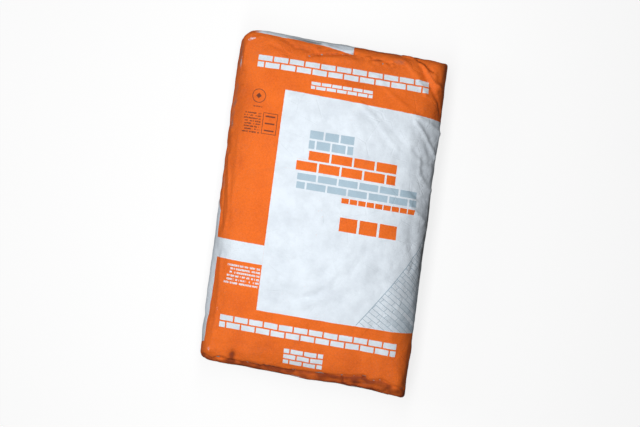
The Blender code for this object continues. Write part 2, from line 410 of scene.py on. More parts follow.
class Graph:
    """A material's node tree, with short calls that add its nodes and link them."""

    def __init__(self, name: str) -> None:
        self.material = bpy.data.materials.new(name)
        self.material.use_nodes = True
        self.tree = self.material.node_tree
        self.shader = self.tree.nodes["Principled BSDF"]

    def node(self, kind: str, **settings: object) -> bpy.types.Node:
        """Adds a shader node with these settings."""
        node = self.tree.nodes.new("ShaderNode" + kind)
        for name, value in settings.items():
            setattr(node, name, value)
        return node

    def feed(self, socket: bpy.types.NodeSocket, value: "Signal | float | Colour") -> None:
        """Links a signal to a socket, or sets the socket's own value."""
        if isinstance(value, Signal):
            self.tree.links.new(value.socket, socket)
        elif isinstance(value, tuple) and len(value) == 3 and socket.type == "RGBA":
            socket.default_value = (*value, 1)
        else:
            socket.default_value = value

    def signal(self, node: bpy.types.Node, output: str | int = 0, **inputs: object) -> "Signal":
        """Feeds a node's inputs by name, with _ for a space, and gives one of its outputs."""
        for name, value in inputs.items():
            self.feed(node.inputs[name.replace("_", " ")], value)
        return Signal(self, node.outputs[output])

    def math(self, operation: str, *values: "Signal | float", clamp: bool = False) -> "Signal":
        """One step of arithmetic."""
        node = self.node("Math", operation=operation, use_clamp=clamp)
        for socket, value in zip(node.inputs, values):
            self.feed(socket, value)
        return Signal(self, node.outputs[0])

    def mixed(self, amount: "Signal | float", first: "Signal | Colour", second: "Signal | Colour") -> "Signal":
        """A colour between two others."""
        node = self.node("Mix", data_type="RGBA")
        for socket, value in zip((node.inputs[0], node.inputs[6], node.inputs[7]), (amount, first, second)):
            self.feed(socket, value)
        return Signal(self, node.outputs[2])

    def vector(self, x: "Signal | float", y: "Signal | float", z: "Signal | float" = 0.0) -> "Signal":
        """Three numbers as a vector."""
        return self.signal(self.node("CombineXYZ"), X=x, Y=y, Z=z)

    def parts(self, vector: "Signal") -> "tuple[Signal, Signal, Signal]":
        """The three numbers of a vector."""
        node = self.node("SeparateXYZ")
        self.feed(node.inputs[0], vector)
        return tuple(Signal(self, output) for output in node.outputs)

    def object_millimetres(self) -> "Signal":
        """The place on the piece, in millimetres."""
        return self.scaled(Signal(self, self.node("TexCoord").outputs["Object"]), 1000)

    def scaled(self, vector: "Signal", factor: float) -> "Signal":
        """A vector times a number."""
        node = self.node("VectorMath", operation="SCALE")
        return self.signal(node, Vector=vector, Scale=factor)

    def noise(self, place: "Signal", size: float, detail: float = 2.0, roughness: float = 0.5) -> "Signal":
        """Cloudy noise about 0.5, with blotches of about this size."""
        node = self.node("TexNoise")
        return self.signal(node, "Fac", Vector=place, Scale=1 / size, Detail=detail, Roughness=roughness)

    def cracks(self, place: "Signal", size: float) -> "Signal":
        """The distance to the nearest border between random cells, as a part of their size."""
        node = self.node("TexVoronoi", feature="DISTANCE_TO_EDGE")
        return self.signal(node, "Distance", Vector=place, Scale=1 / size)

    def attribute(self, name: str) -> "Signal":
        """A number painted on the piece's points."""
        return Signal(self, self.node("Attribute", attribute_name=name).outputs["Fac"])

    def bump(self, height: "Signal", distance: float, strength: float = 1.0) -> None:
        """Bends the shading by a height in which 1 stands for this distance."""
        node = self.node("Bump")
        normal = self.signal(node, Height=height, Distance=distance, Strength=strength)
        self.feed(self.shader.inputs["Normal"], normal)


@dataclass(frozen=True)
class Signal:
    """A value that runs along a material's links. Arithmetic on it adds Math nodes."""

    graph: Graph
    socket: bpy.types.NodeSocket

    def __add__(self, other: "Signal | float") -> "Signal":
        return self.graph.math("ADD", self, other)

    def __sub__(self, other: "Signal | float") -> "Signal":
        return self.graph.math("SUBTRACT", self, other)

    def __rsub__(self, other: float) -> "Signal":
        return self.graph.math("SUBTRACT", other, self)

    def __mul__(self, other: "Signal | float") -> "Signal":
        return self.graph.math("MULTIPLY", self, other)

    def __truediv__(self, other: "Signal | float") -> "Signal":
        return self.graph.math("DIVIDE", self, other)

    __radd__, __rmul__ = __add__, __mul__

    def size(self) -> "Signal":
        """The value without its sign."""
        return self.graph.math("ABSOLUTE", self)

    def least(self, other: "Signal | float") -> "Signal":
        """The smaller of two values."""
        return self.graph.math("MINIMUM", self, other)

    def most(self, other: "Signal | float") -> "Signal":
        """The larger of two values."""
        return self.graph.math("MAXIMUM", self, other)

    def modulo(self, period: float) -> "Signal":
        """The rest after whole periods, never negative."""
        return self.graph.math("FLOORED_MODULO", self, period)

    def floor(self) -> "Signal":
        """The whole number below the value."""
        return self.graph.math("FLOOR", self)

    def rise(self, low: float, high: float) -> "Signal":
        """A ramp from 0 at the low value to 1 at the high one, or the other way round."""
        return self.graph.math("MULTIPLY_ADD", self, 1 / (high - low), -low / (high - low), clamp=True)

    def curve(self, power: float) -> "Signal":
        """The value to a power."""
        return self.graph.math("POWER", self, power)


@dataclass(frozen=True)
class PrintZone:
    """A turned box on the flat front that some print fills, in millimetres and degrees."""

    across: float
    along: float
    wide: float
    high: float
    turn: float = 0.5

    def local(self, u: Signal, v: Signal) -> tuple[Signal, Signal]:
        """Places from the zone's lower left corner, along its own sides."""
        c, s = math.cos(math.radians(self.turn)), math.sin(math.radians(self.turn))
        x, y = u - self.across, v - self.along
        return x * c + y * s + self.wide / 2, y * c - x * s + self.high / 2

    def mask(self, x: Signal, y: Signal, soft: float = 0.5) -> Signal:
        """1 inside the zone and 0 outside it, from local places."""
        inside = ((x - self.wide / 2).size() * -1 + self.wide / 2).least(
            (y - self.high / 2).size() * -1 + self.high / 2
        )
        return inside.rise(-soft / 2, soft / 2)


@dataclass(frozen=True)
class BrickRows(PrintZone):
    """Plain bricks in running bond, which take the place of lettering."""

    bricks: int = 10
    rows: int = 2
    gap: float = 3.0
    stepped: bool = False

    def ink(self, graph: Graph, u: Signal, v: Signal) -> Signal:
        """Where the bricks are printed.

        Args:
            graph: the material's graph.
            u: the place across the paper.
            v: the place along it.

        Returns:
            1 on a brick and 0 elsewhere.
        """
        x, y = self.local(u, v)
        row_height = (self.high + self.gap) / self.rows
        brick = (self.wide + self.gap) / self.bricks
        unit = 2 * brick
        node = graph.node("TexBrick", offset=0.5 if self.rows > 1 else 0.0, offset_frequency=2)
        mortar = graph.signal(
            node,
            "Fac",
            Vector=graph.vector((x + self.gap / 2) / unit, (y + self.gap / 2) / unit),
            Scale=1.0,
            Mortar_Size=self.gap / 2 / unit,
            Mortar_Smooth=0.15,
            Brick_Width=brick / unit,
            Row_Height=row_height / unit,
        )
        mask = self.mask(x, y)
        if self.stepped:
            row = (y / row_height).floor()
            start = row * (brick / 2) + brick / 2 - self.gap / 2
            mask = mask * (x - start).rise(-0.25, 0.25)
        return mask * (1 - mortar)


@dataclass(frozen=True)
class DashRows(PrintZone):
    """Rows of short plain dashes, which take the place of small print."""

    rows: int = 7
    word: float = 7.0
    ragged: float = 0.3

    def ink(self, graph: Graph, u: Signal, v: Signal) -> Signal:
        """Where the dashes are printed: 1 on a dash and 0 elsewhere."""
        x, y = self.local(u, v)
        pitch = self.high / self.rows
        row = (y / pitch).floor()
        in_row = (y / pitch - row - 0.5).size().rise(0.30, 0.22)
        words = graph.noise(graph.vector(x / self.word, row * 7.3), 0.5, 1.0).rise(0.42, 0.46)
        strokes = graph.noise(graph.vector(x / 1.1, row * 3.1 + y / 1.6), 1.0, 1.0).rise(0.38, 0.46)
        short = graph.noise(graph.vector(row * 5.7, 0.5), 1.0, 0.0) * (2 * self.ragged * self.wide)
        return self.mask(x, y) * in_row * words * strokes * (x - short).rise(-0.5, 0.5)


@dataclass(frozen=True)
class RingMark(PrintZone):
    """A plain thin ring with a small diamond in it."""

    line: float = 1.3

    def ink(self, graph: Graph, u: Signal, v: Signal) -> Signal:
        """Where the ring and the diamond are printed: 1 on the ink and 0 elsewhere."""
        x, y = self.local(u, v)
        x, y = x - self.wide / 2, y - self.high / 2
        distance = graph.math("SQRT", x * x + y * y)
        ring = (distance - (self.wide - self.line) / 2).size().rise(self.line / 2 + 0.2, self.line / 2 - 0.2)
        diamond = (x.size() + y.size()).rise(self.wide * 0.2 + 0.3, self.wide * 0.2 - 0.3)
        return ring.most(diamond)


@dataclass(frozen=True)
class FrameMark(PrintZone):
    """A plain box outline with two bars across it."""

    line: float = 1.2

    def ink(self, graph: Graph, u: Signal, v: Signal) -> Signal:
        """Where the outline and the bars are printed: 1 on the ink and 0 elsewhere."""
        x, y = self.local(u, v)
        edge = (x.least(self.wide - x)).least(y.least(self.high - y))
        outline = edge.rise(self.line + 0.2, self.line - 0.2) * self.mask(x, y)
        bars = ((y / self.high * 3).modulo(1.0) - 0.5).size().rise(0.12, 0.08)
        return outline.most(bars * (x / self.wide - 0.5).size().rise(0.34, 0.32) * self.mask(x, y))


@dataclass(frozen=True)
class WallDrawing:
    """Thin lines of plain brickwork, seen at a slant, below a sloping edge at the panel's lower right."""

    low: tuple[float, float] = (97.8, -199.0)
    high: tuple[float, float] = (236.0, 11.0)
    course: float = 8.0
    brick: float = 29.0
    slant: float = math.radians(-44)
    flattened: float = 0.62
    line: float = 1.0
    shaded_from: float = 25.0
    shaded_over: float = 70.0

    def ink(self, graph: Graph, u: Signal, v: Signal) -> Signal:
        """How strongly the lines and their shading are printed: 1 on a line and 0 on bare paper."""
        run = (self.high[0] - self.low[0], self.high[1] - self.low[1])
        length = math.hypot(*run)
        beside = ((u - self.low[0]) * run[1] - (v - self.low[1]) * run[0]) / length
        c, s = math.cos(self.slant), math.sin(self.slant)
        x, y = u * c + v * s, v * c - u * s * self.flattened
        unit = 2 * self.brick
        node = graph.node("TexBrick", offset=0.37, offset_frequency=2)
        for name, tone in (("Color1", 0.0), ("Color2", 1.0), ("Mortar", 0.0)):
            node.inputs[name].default_value = (tone, tone, tone, 1)
        line = graph.signal(
            node,
            "Fac",
            Vector=graph.vector(x / unit, y / unit),
            Scale=1.0,
            Mortar_Size=self.line / 2 / unit,
            Mortar_Smooth=0.3,
            Brick_Width=self.brick / unit,
            Row_Height=self.course / unit,
        )
        tone, _, _ = graph.parts(Signal(graph, node.outputs["Color"]))
        hatching = (y / 2.2).modulo(1.0).rise(0.55, 0.35) * tone.rise(0.35, 0.9)
        deeper = beside.rise(self.shaded_from, self.shaded_from + self.shaded_over)
        border = beside.size().rise(self.line, self.line / 2)
        inside = line.most(hatching * 0.8 * (deeper + 0.3).least(1.0)).most(deeper * tone * 0.65)
        return border.most(inside * beside.rise(-0.3, 0.3))


@dataclass(frozen=True)
class PrintedPaper:
    """The sack's paper: bleached kraft, printed orange with a white panel, then rubbed and dusted, with painted shade
    in creases, along the edges and below the bottom fold.
    """

    paper: Colour = (0.79, 0.86, 0.93)
    orange: Colour = (0.90, 0.168, 0.012)
    deep_orange: Colour = (0.72, 0.115, 0.008)
    blue_grey: Colour = (0.36, 0.50, 0.60)
    line_blue: Colour = (0.20, 0.32, 0.40)
    black: Colour = (0.055, 0.025, 0.022)
    # Grey dust, also mixed in as painted shade along the right side, the top rim and the bottom fold.
    dust: Colour = (0.17, 0.165, 0.155)
    cold_shade: Colour = (0.30, 0.34, 0.40)
    # The deep red-brown of painted shade in creases, along the outlines and below the bottom fold.
    crease: Colour = (0.17, 0.024, 0.009)
    roughness: float = 0.70
    gloss: float = 0.22
    printed_from: float = -236.0
    upper_inset: float = 24.0
    upper_lean: float = 0.7
    lower_inset: float = 31.5
    lower_lean: float = 0.020
    lower_end: float = -302.0
    printed_over: float = 923.0
    panel_from: float = -104.5
    panel_top: float = 223.0
    panel_top_fall: float = 0.0141
    panel_bottom: float = -214.5
    panel_bottom_rise: float = 0.0129
    band_top: float = -86.4
    band_bottom: float = -125.1
    ink_edge: float = 0.35
    white_rows: tuple[BrickRows | DashRows, ...] = (
        BrickRows(4.0, 276.6, 341.0, 25.5, 0.96, bricks=11, rows=2, gap=3.4),
        BrickRows(4.7, 242.0, 121.0, 15.0, 0.96, bricks=6, rows=2, gap=2.4),
        BrickRows(1.0, -247.5, 351.0, 25.6, 0.4, bricks=12, rows=2, gap=3.4),
        BrickRows(-2.5, -298.5, 78.0, 34.0, 0.5, bricks=3, rows=3, gap=3.2),
        DashRows(-150.0, -152.3, 88.0, 42.0, 0.5, rows=6, word=9.0, ragged=0.25),
    )
    orange_rows: tuple[BrickRows, ...] = (
        BrickRows(22.0, 92.0, 216.0, 40.0, 0.7, bricks=5, rows=2, gap=4.0, stepped=True),
        BrickRows(104.0, 27.5, 146.0, 10.0, 0.7, bricks=9, rows=1, gap=2.2),
        BrickRows(89.0, -18.7, 112.0, 27.0, 0.7, bricks=3, rows=1, gap=5.0),
    )
    blue_rows: tuple[BrickRows, ...] = (
        BrickRows(-2.0, 134.0, 86.0, 36.0, 0.7, bricks=3, rows=2, gap=4.0),
        BrickRows(60.0, 52.0, 238.0, 30.0, 0.7, bricks=6, rows=2, gap=4.0),
    )
    dark_marks: tuple[PrintZone, ...] = (
        RingMark(-154.0, 202.1, 28.0, 28.0),
        DashRows(-154.0, 180.5, 19.0, 4.2, 0.5, rows=1, word=5.0, ragged=0.0),
        DashRows(-167.5, 147.5, 47.0, 43.0, 0.5, rows=8, word=8.0, ragged=0.25),
        FrameMark(-125.7, 149.6, 29.0, 42.0),
    )
    wall: WallDrawing = WallDrawing()

    def build(self) -> bpy.types.Material:
        """Makes the material."""
        graph = Graph("printed_sack_paper")
        sheet = Signal(graph, graph.node("UVMap", uv_map="paper").outputs[0])
        place = graph.object_millimetres()
        u, v, _ = graph.parts(graph.scaled(sheet, 1000))
        wobble = (graph.noise(place, 4.0, 3.0) - 0.5) * 0.9
        u, v = u + wobble, v + wobble
        colour = self.dressed(graph, self.printed(graph, u, v, place), u, v, place)
        graph.feed(graph.shader.inputs["Base Color"], colour)
        shine = graph.noise(place, 18.0, 4.0) * 0.16 + (self.roughness - 0.08)
        graph.feed(graph.shader.inputs["Roughness"], shine + graph.attribute("dust_and_painted_shade") * 0.2)
        graph.shader.inputs["Specular IOR Level"].default_value = self.gloss
        graph.bump(self.surface(graph, place), 0.001)
        return graph.material

    def orange_ground(self, graph: Graph, u: Signal, v: Signal) -> Signal:
        """Where the plain orange areas are: the end bands and the left column."""
        upper = (v * -self.upper_lean).most(0.0).least(self.upper_inset)
        lower = (v - self.band_bottom) * self.lower_lean + self.lower_inset
        lower = lower * (v - self.lower_end).rise(-6.0, 2.0)
        below_band = (self.band_bottom + 15.0 - v).rise(0.0, 1.0)
        left_edge = upper + (lower - upper) * below_band
        around = (u - self.printed_from).modulo(TUBE_ROUND)
        printed = (around - left_edge).rise(0.0, self.ink_edge)
        printed = printed * around.rise(self.printed_over, self.printed_over - 1)
        past = around + (self.printed_from - self.panel_from)
        aside = past.most(0.0).least(320.0)
        below = (aside * -self.panel_top_fall + self.panel_top - v).rise(0.0, self.ink_edge)
        above = (v - (aside * self.panel_bottom_rise + self.panel_bottom)).rise(0.0, self.ink_edge)
        panel = past.rise(0.0, self.ink_edge) * below * above
        lean = (u + 160.0) * 0.006
        band = (self.band_top + lean - v).rise(0.0, self.ink_edge)
        band = band * (v - lean - self.band_bottom).rise(0.0, self.ink_edge)
        band = band * past.rise(self.ink_edge, 0.0)
        return printed * (1 - panel.most(band)) * (1 - self.bare_top(graph, u, v))

    def bare_top(self, graph: Graph, u: Signal, v: Signal) -> Signal:
        """The unprinted margin that shows along the left part of the top fold."""
        limit = (u * -0.19 + 326.5).most(326.5).least(335.0)
        reach = (u + 190.0).rise(0.0, 25.0) * (18.5 - u).rise(0.0, 0.6)
        return (v - limit).rise(0.0, 0.8) * reach.rise(0.0, 0.5)

    def printed(self, graph: Graph, u: Signal, v: Signal, place: Signal) -> Signal:
        """The paper's colour with its print, clean and new, with soft blotches of painted cool shade on the bare paper.
        """
        orange = self.orange_ground(graph, u, v)
        fibres = graph.noise(place, 1.6, 3.0, 0.7).rise(0.30, 0.46)
        white_ink = self.union(graph, self.white_rows, u, v)
        orange = orange * (1 - white_ink)
        blue = self.union(graph, self.blue_rows, u, v)
        orange = orange.most(self.union(graph, self.orange_rows, u, v))
        # Painted cool shade in soft blotches over the bare paper, put in before the orange ink.
        cloud = graph.noise(place, 46.0, 5.0, 0.68).rise(0.40, 0.72) * 0.24
        colour = graph.mixed(cloud, self.paper, self.cold_shade)
        specks = graph.noise(place, 3.2, 2.0, 0.6).rise(0.70, 0.78) * graph.noise(place, 40.0, 2.0).rise(0.5, 0.6)
        colour = graph.mixed(specks * 0.35, colour, self.orange)
        colour = graph.mixed(blue * (fibres * 0.25 + 0.65), colour, self.blue_grey)
        colour = graph.mixed(self.wall_ink(graph, u, v), colour, self.line_blue)
        density = graph.noise(place, 60.0, 3.0) + (graph.noise(place, 3.4, 4.0, 0.75) - 0.5) * 1.3
        deep = graph.mixed(density.rise(0.35, 0.95), self.orange, self.deep_orange)
        colour = graph.mixed(orange * (fibres * 0.05 + 0.95), colour, deep)
        return graph.mixed(self.union(graph, self.dark_marks, u, v) * 0.85, colour, self.black)

    def wall_ink(self, graph: Graph, u: Signal, v: Signal) -> Signal:
        """The line drawing's share of the blue-grey ink, only inside the white panel."""
        inside = (v - self.panel_bottom - 4.0).rise(0.0, 0.5) * (v * -1 + 14.0).rise(0.0, 6.0)
        return self.wall.ink(graph, u, v) * inside * u.rise(300.0, 280.0) * 0.75

    @staticmethod
    def union(graph: Graph, zones: tuple[PrintZone, ...], u: Signal, v: Signal) -> Signal:
        """The ink of several zones together."""
        total = zones[0].ink(graph, u, v)
        for zone in zones[1:]:
            total = total.most(zone.ink(graph, u, v))
        return total

    def dressed(self, graph: Graph, colour: Signal, u: Signal, v: Signal, place: Signal) -> Signal:
        """The colour after handling, with painted shade: rubbed edges, cement dust and faint smudges, dust patches, and
        painted shade in creases, along the outlines and below the bottom fold.

        Args:
            graph: the material's graph.
            colour: the clean print.
            u: the place across the paper. Not used.
            v: the place along it. Not used.
            place: the place on the piece.

        Returns:
            The colour of the used sack.
        """
        grain = graph.noise(place, 2.2, 4.0, 0.75)
        blotch = graph.noise(place, 26.0, 5.0, 0.65)
        colour = graph.mixed((blotch - 0.5).rise(0.05, 0.3) * 0.08, colour, self.dust)
        handled = graph.attribute("handled")
        colour = graph.mixed(grain.rise(0.58, 0.76) * handled * 0.08, colour, self.paper)
        colour = graph.mixed(grain.rise(0.46, 0.30) * handled * 0.30, colour, self.dust)
        # Painted shade: dark red-brown in creases, along the right and top outlines, on a dent's dark side and below
        # the bottom fold.
        painted_shade = (graph.attribute("painted_shade") + (grain - 0.5) * 0.5).rise(0.25, 0.95)
        colour = graph.mixed(painted_shade * 0.80, colour, self.crease)
        rubbed = graph.attribute("rubbed")
        worn = (rubbed + (grain - 0.5) * 0.9 - 0.45).rise(0.0, 0.18) * rubbed.rise(0.02, 0.2)
        colour = graph.mixed(worn * 0.75, colour, self.paper)
        # Grey dust patches on the left and the top band, and painted shade in the same grey along the right side, the
        # top rim and the bottom fold.
        dust_and_painted_shade = graph.attribute("dust_and_painted_shade")
        dirt = dust_and_painted_shade * 1.2 + (grain - 0.5) * 0.8 + (blotch - 0.5) * 0.5 - 0.3
        return graph.mixed(dirt.rise(0.0, 0.6) * dust_and_painted_shade.rise(0.0, 0.15) * 0.8, colour, self.dust)

    def surface(self, graph: Graph, place: Signal) -> Signal:
        """The paper's fine relief, in millimetres: fibres, soft puckers and hair creases."""
        fibres = graph.noise(place, 1.4, 3.0, 0.7) * 0.05
        pucker = graph.noise(place, 14.0, 4.0, 0.6) * 0.9
        hair = graph.cracks(place, 52.0).rise(0.0, 0.03) * graph.noise(place, 60.0, 1.0).rise(0.44, 0.60)
        fine = graph.cracks(place, 29.0).rise(0.0, 0.04) * graph.noise(place, 36.0, 1.0).rise(0.44, 0.62)
        return fibres + pucker + hair * 0.35 + fine * graph.attribute("handled") * 0.40


@dataclass(frozen=True)
class PlainPaper:
    """Unprinted paper, with its fibres and a little dust."""

    name: str
    colour: Colour
    dust: Colour = (0.36, 0.35, 0.33)
    dusty: float = 0.3
    roughness: float = 0.62

    def build(self) -> bpy.types.Material:
        """Makes the material."""
        graph = Graph(self.name)
        place = graph.object_millimetres()
        fibres = graph.noise(place, 1.5, 4.0, 0.7)
        blotch = graph.noise(place, 22.0, 5.0, 0.65)
        tone = graph.mixed(fibres, tuple(0.9 * c for c in self.colour), self.colour)
        dirt = (blotch + (fibres - 0.5) * 0.4).rise(0.48, 0.75) * self.dusty
        graph.feed(graph.shader.inputs["Base Color"], graph.mixed(dirt, tone, self.dust))
        graph.feed(graph.shader.inputs["Roughness"], fibres * 0.1 + (self.roughness - 0.05))
        graph.shader.inputs["Sheen Weight"].default_value = 0.06
        graph.bump(fibres * 0.06 + graph.noise(place, 11.0, 4.0) * 0.35, 0.001)
        return graph.material


@dataclass(frozen=True)
class CementPowder:
    """Fine grey powder, pressed smooth by the paper."""

    pale: Colour = (0.42, 0.42, 0.40)
    dark: Colour = (0.30, 0.30, 0.29)

    def build(self) -> bpy.types.Material:
        """Makes the material."""
        graph = Graph("cement_powder")
        place = graph.object_millimetres()
        grain = graph.noise(place, 0.8, 4.0, 0.8)
        lumps = graph.noise(place, 9.0, 5.0, 0.7)
        graph.feed(graph.shader.inputs["Base Color"], graph.mixed(lumps.rise(0.3, 0.7), self.dark, self.pale))
        graph.shader.inputs["Roughness"].default_value = 0.95
        graph.bump(grain * 0.2 + lumps * 0.8, 0.001)
        return graph.material


def select_only(*objects: bpy.types.Object) -> None:
    """Selects these objects and makes the first the active one."""
    bpy.ops.object.select_all(action="DESELECT")
    for obj in objects:
        obj.select_set(True)
    bpy.context.view_layer.objects.active = objects[0]


def duplicate_of(source: bpy.types.Object, name: str) -> bpy.types.Object:
    """A copy of a piece, with a mesh of its own."""
    select_only(source)
    bpy.ops.object.duplicate()
    copy = bpy.context.object
    copy.name = copy.data.name = name
    return copy


def finish_with(obj: bpy.types.Object, kind: str, **settings: object) -> None:
    """Adds a modifier with these settings and applies it."""
    select_only(obj)
    modifier = obj.modifiers.new(kind.lower(), kind)
    for name, value in settings.items():
        setattr(modifier, name, value)
    bpy.ops.object.modifier_apply(modifier=modifier.name)


def read_points(mesh: bpy.types.Mesh) -> Array:
    """The places of a mesh's points."""
    flat = np.zeros(len(mesh.vertices) * 3, np.float32)
    mesh.vertices.foreach_get("co", flat)
    return flat.reshape(-1, 3).astype(float)


def write_points(mesh: bpy.types.Mesh, points: Array) -> None:
    """Moves a mesh's points."""
    mesh.vertices.foreach_set("co", points.astype(np.float32).ravel())
    mesh.update()


def read_normals(mesh: bpy.types.Mesh) -> Array:
    """The directions that a mesh's points face."""
    flat = np.zeros(len(mesh.vertices) * 3, np.float32)
    mesh.vertex_normals.foreach_get("vector", flat)
    return flat.reshape(-1, 3).astype(float)


def paint(mesh: bpy.types.Mesh, name: str, values: Array) -> None:
    """Stores a number on each of a mesh's points."""
    layer = mesh.attributes.new(name, "FLOAT", "POINT")
    layer.data.foreach_set("value", values.astype(np.float32))


def rough(points: Array, size: float, shift: float) -> Array:
    """Smooth random heights between about -1 and 1, with lumps of this size, at places in millimetres."""
    moved = points / size + shift
    return np.array([noise.noise(Vector(p)) for p in moved])


class Relief(ABC):
    """A form pressed into the paper, or raised from it, at places on the flat tube in millimetres."""

    @abstractmethod
    def heights(self, flat: Array) -> Array:
        """How far it moves each place outwards, in millimetres."""


@dataclass(frozen=True)
class Crease(Relief):
    """A crease along a line of places: a sharp ridge or valley, with one side lifted if it has a step."""

    path: tuple[tuple[float, float], ...]
    lift: float
    width: float
    step: float = 0.0

    def heights(self, flat: Array) -> Array:
        """How far it moves each place outwards, in millimetres."""
        best = np.full(len(flat), np.inf)
        side = np.zeros(len(flat))
        for start, end in zip(self.path, self.path[1:]):
            a, run = np.array(start), np.array(end) - np.array(start)
            offset = flat - a
            t = np.clip(offset @ run / (run @ run), 0, 1)
            away = offset - t[:, None] * run
            distance = np.linalg.norm(away, axis=1)
            nearer = distance < best
            best[nearer] = distance[nearer]
            side[nearer] = np.sign(run[0] * offset[nearer, 1] - run[1] * offset[nearer, 0])
        near = np.clip(1 - best / self.width, 0, None)
        return self.lift * near**1.5 + self.step * side * near * np.clip(best / self.width * 4, 0, 1)


@dataclass(frozen=True)
class Dent(Relief):
    """A soft hollow, or a lump where the lift is positive, with an oval outline."""

    across: float
    along: float
    wide: float
    long: float
    lift: float
    turn: float = 0.0

    def heights(self, flat: Array) -> Array:
        """How far it moves each place outwards, in millimetres."""
        c, s = math.cos(math.radians(self.turn)), math.sin(math.radians(self.turn))
        x, y = flat[:, 0] - self.across, flat[:, 1] - self.along
        u, v = (x * c + y * s) / self.wide, (y * c - x * s) / self.long
        return self.lift * np.exp(-2 * (u * u + v * v))


@dataclass(frozen=True)
class Crumple(Dent):
    """An oval patch of small flat facets between creases, as stiff paper takes when it is pressed together."""

    size: float = 14.0

    def heights(self, flat: Array) -> Array:
        """How far it moves each place outwards, in millimetres."""
        patch = super().heights(flat)
        near = np.abs(patch) > 0.02
        facets = np.zeros(len(flat))
        for index in np.nonzero(near)[0]:
            place = Vector((flat[index, 0] / self.size, flat[index, 1] / self.size, self.across))
            nearest = noise.voronoi(place)[0]
            facets[index] = min(nearest[1] - nearest[0], 0.6) / 0.3 - 1
        return patch * facets


@dataclass(frozen=True)
class Rub(Dent):
    """An oval patch that is rubbed, dusty or painted with shade, with a strength in place of a lift."""


@dataclass(frozen=True)
class Shade(Relief):
    """Painted shade on all the paper that lies below a line across it, as under the edge of a fold."""

    path: tuple[tuple[float, float], ...]
    strength: float
    soft: float

    def heights(self, flat: Array) -> Array:
        """How strong the tone is at each place."""
        across, along = np.array(self.path).T
        line = np.interp(flat[:, 0], across, along)
        return self.strength * ease((line - flat[:, 1]) / self.soft)


@dataclass(frozen=True)
class Ear:
    """A corner of the sack that stands out further, as the pointed end of a side does."""

    place: tuple[float, float, float]
    pull: tuple[float, float, float]
    reach: float

    def moves(self, points: Array) -> Array:
        """How far each point moves."""
        distance = np.linalg.norm(points - np.array(self.place), axis=1)
        return np.exp(-2 * (distance / self.reach) ** 2)[:, None] * np.array(self.pull)


@dataclass(frozen=True)
class PaperCloth:
    """A cloth simulation of how stiff paper, cut a little large, puckers as the fill holds it."""

    frames: int = 16
    hold: float = 0.055
    pressure: float = 0.5
    excess: float = 1.006
    uneven: float = 0.010
    uneven_size: float = 0.09
    stiffness: float = 40.0
    bending: float = 0.5
    mass: float = 0.12
    air: float = 2.0
    quality: int = 4
    smoothing: int = 60
    cap: float = 0.004

    def cut_places(self, cut: Array) -> Array:
        """The folded block's points, spread by the paper's uneven excess."""
        excess = [self.excess + self.uneven * noise.noise(Vector(p) / self.uneven_size) for p in cut]
        return cut * np.array(excess)[:, None]

    def moves(self, sack: bpy.types.Object, cut: Array) -> Array:
        """How far each point of the sack moves as the paper settles.

        Args:
            sack: the piece, with its points on the filled form.
            cut: the same points on the square-edged block that the paper was folded to.

        Returns:
            The move of each point, without the swelling that all its neighbours share.
        """
        paper = duplicate_of(sack, "paper_cloth")
        start = read_points(paper.data)
        held = paper.vertex_groups.new(name="held_by_fill")
        held.add(range(len(start)), self.hold, "REPLACE")
        paper.shape_key_add(name="filled")
        rest = paper.shape_key_add(name="cut")
        rest.data.foreach_set("co", self.cut_places(cut).astype(np.float32).ravel())
        cloth = paper.modifiers.new("cloth", "CLOTH")
        settings = cloth.settings
        settings.rest_shape_key = rest
        settings.vertex_group_mass, settings.pin_stiffness = held.name, 1.0
        settings.quality, settings.mass, settings.air_damping = self.quality, self.mass, self.air
        settings.tension_stiffness = settings.compression_stiffness = self.stiffness
        settings.shear_stiffness, settings.bending_stiffness = self.stiffness, self.bending
        settings.use_pressure, settings.uniform_pressure_force = True, self.pressure
        settings.effector_weights.gravity = 0
        cloth.collision_settings.use_collision = False
        cloth.point_cache.frame_start, cloth.point_cache.frame_end = 1, self.frames
        for frame_number in range(1, self.frames + 1):
            bpy.context.scene.frame_set(frame_number)
        settled = paper.evaluated_get(bpy.context.evaluated_depsgraph_get()).to_mesh()
        moves = read_points(settled) - start
        moves = moves - self.smoothed(paper.data, moves)
        bpy.context.scene.frame_set(1)
        bpy.data.objects.remove(paper)
        length = np.linalg.norm(moves, axis=1, keepdims=True)
        LOG.info("cloth: mean move %.2f mm, most %.2f mm", length.mean() * 1000, length.max() * 1000)
        return moves * np.minimum(1, self.cap / np.maximum(length, 1e-9))

    def smoothed(self, mesh: bpy.types.Mesh, values: Array) -> Array:
        """The values after each has become the mean of its neighbours', again and again."""
        ends = np.zeros(len(mesh.edges) * 2, np.int32)
        mesh.edges.foreach_get("vertices", ends)
        first, second = ends.reshape(-1, 2).T
        neighbours = np.bincount(ends, minlength=len(values))[:, None]
        for _ in range(self.smoothing):
            total = np.zeros_like(values)
            np.add.at(total, first, values[second])
            np.add.at(total, second, values[first])
            values = total / neighbours
        return values


